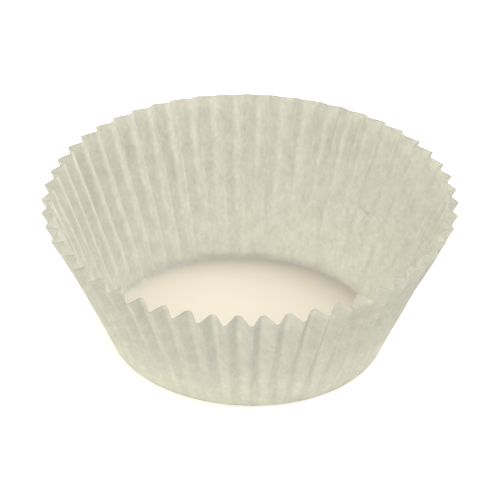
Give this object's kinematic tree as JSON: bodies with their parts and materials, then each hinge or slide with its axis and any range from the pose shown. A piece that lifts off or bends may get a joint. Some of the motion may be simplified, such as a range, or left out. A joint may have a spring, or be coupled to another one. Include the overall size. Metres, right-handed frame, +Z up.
{
  "type": "cupcake liner",
  "caption": "Pleated paper cupcake liner: a flat round floor and a flared wall of fine pleats that deepen from a small round corner up to the zigzag rim",
  "frame": {"origin": "centre of the base's underside, on the surface the liner stands on", "axes": "+Z up out of the mouth, +Y along the longer way across the slightly oval rim, +X across the shorter way"},
  "size_m": [0.0768, 0.0822, 0.0296],
  "materials": {
    "greaseproof_paper": "matt unprinted greaseproof paper, off-white, slightly mottled and translucent"
  },
  "bodies": {
    "root": {"liner": "greaseproof_paper"}
  },
  "joints": []
}
